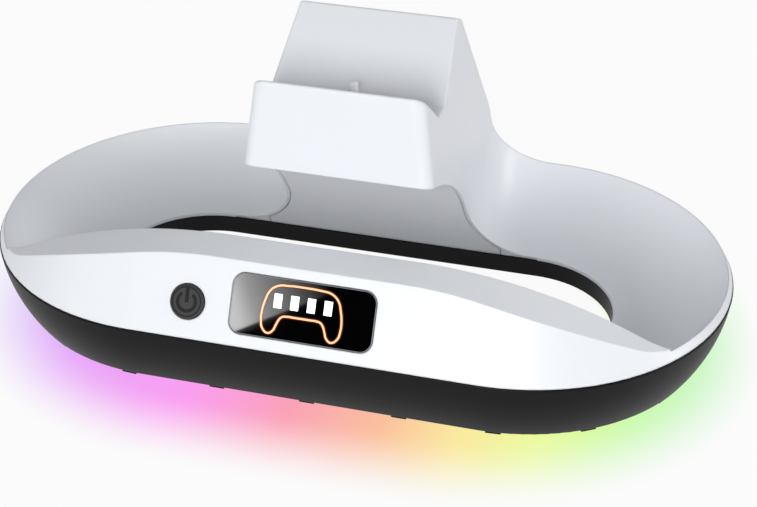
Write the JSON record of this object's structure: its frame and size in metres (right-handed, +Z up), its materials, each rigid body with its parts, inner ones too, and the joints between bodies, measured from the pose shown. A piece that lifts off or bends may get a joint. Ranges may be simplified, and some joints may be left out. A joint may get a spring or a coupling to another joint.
{
  "type": "controller charging dock",
  "caption": "Desk charging dock for a game controller: racetrack base with a slot, raised front bar with display and power button, and a leaning neck with a contact cradle.",
  "frame": {"origin": "on the floor under the middle of the base", "axes": "+X to the right along the base, +Y from the display to the rear, +Z up"},
  "size_m": [0.1798, 0.0998, 0.0725],
  "materials": {
    "white_abs": "satin moulded ABS",
    "black_abs": "satin moulded ABS",
    "smoked_lens": "polished smoked acrylic",
    "orange_guide": "lit light guide",
    "white_guide": "lit light guide",
    "black_button": "satin moulded ABS",
    "clear_white": "translucent polycarbonate",
    "black_nylon": "moulded nylon",
    "gold_contact": "gold-plated brass",
    "board_green": "glass-epoxy board",
    "chip_black": "moulded epoxy",
    "steel": "plain steel",
    "diffuser": "frosted polycarbonate",
    "lamp": "lamp package",
    "foot_rubber": "silicone rubber",
    "lead_black": "PVC sleeve"
  },
  "bodies": {
    "base": {"upper_shell": "white_abs", "lower_shell": "black_abs", "neck_front_panel": "white_abs", "contact_carrier": "black_nylon", "contact_barrels": "gold_contact", "guide_peg": "clear_white", "contact_board": "board_green", "contact_lead": "lead_black", "display_lens": "smoked_lens", "icon_light_guide": "orange_guide", "display_bars": "white_guide", "display_light_box": "black_nylon", "tact_switch": "chip_black", "front_board": "board_green", "board_chips": "chip_black", "front_lead": "lead_black", "inlet_board": "board_green", "usb_c_socket": "steel", "diffuser_ring": "diffuser", "light_strip_board": "board_green", "light_strip_leds": "lamp", "rubber_feet": "foot_rubber", "case_screws": "steel", "board_screws": "steel"},
    "power_button": {"power_button": "black_button", "switch_stem": "black_nylon"},
    "contact_pin_1": {"contact_pin_1": "gold_contact"},
    "contact_pin_2": {"contact_pin_2": "gold_contact"},
    "contact_pin_3": {"contact_pin_3": "gold_contact"},
    "contact_pin_4": {"contact_pin_4": "gold_contact"}
  },
  "joints": [
    {"name": "power_button_press", "type": "slide", "parent": "base", "child": "power_button", "axis": [0, 0.8763, -0.4818], "range_m": [0, 0.0005], "stiffness_N_per_m": 3000},
    {"name": "contact_pin_1_press", "type": "slide", "parent": "base", "child": "contact_pin_1", "axis": [0, 0, -1], "range_m": [0, 0.001], "stiffness_N_per_m": 600},
    {"name": "contact_pin_2_press", "type": "slide", "parent": "base", "child": "contact_pin_2", "axis": [0, 0, -1], "range_m": [0, 0.001], "stiffness_N_per_m": 600},
    {"name": "contact_pin_3_press", "type": "slide", "parent": "base", "child": "contact_pin_3", "axis": [0, 0, -1], "range_m": [0, 0.001], "stiffness_N_per_m": 600},
    {"name": "contact_pin_4_press", "type": "slide", "parent": "base", "child": "contact_pin_4", "axis": [0, 0, -1], "range_m": [0, 0.001], "stiffness_N_per_m": 600}
  ]
}
